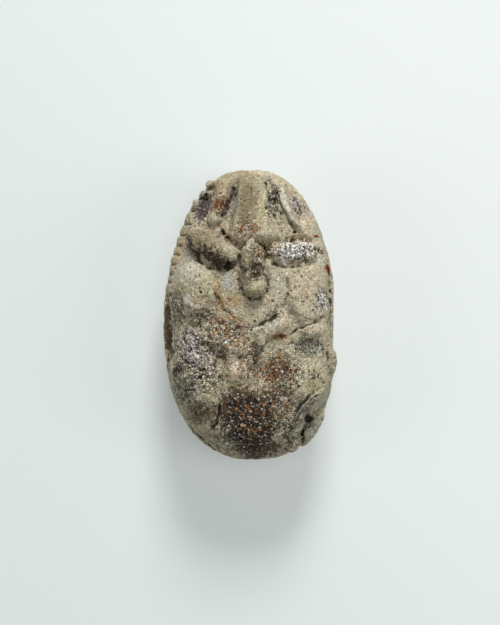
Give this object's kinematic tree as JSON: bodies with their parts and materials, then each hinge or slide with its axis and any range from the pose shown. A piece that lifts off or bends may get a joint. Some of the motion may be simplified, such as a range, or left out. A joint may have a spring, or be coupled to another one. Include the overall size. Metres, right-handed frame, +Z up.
{
  "type": "scarab amulet",
  "caption": "Egg-shaped beetle amulet lying on its domed back, its carved underside up: head wedge, folded legs, breast shield and a small pierced lug.",
  "frame": {"origin": "on the surface it lies on, under the middle of its outline", "axes": "+Z up, out of the carved underside; +Y from the tail to the head; +X across, to the right as the head points away"},
  "size_m": [0.0144, 0.024, 0.0105],
  "materials": {
    "weathered_ceramic": "granular, matt, weathered, with rust, white crust and dark earth stains"
  },
  "bodies": {
    "root": {"scarab": "weathered_ceramic"}
  },
  "joints": []
}
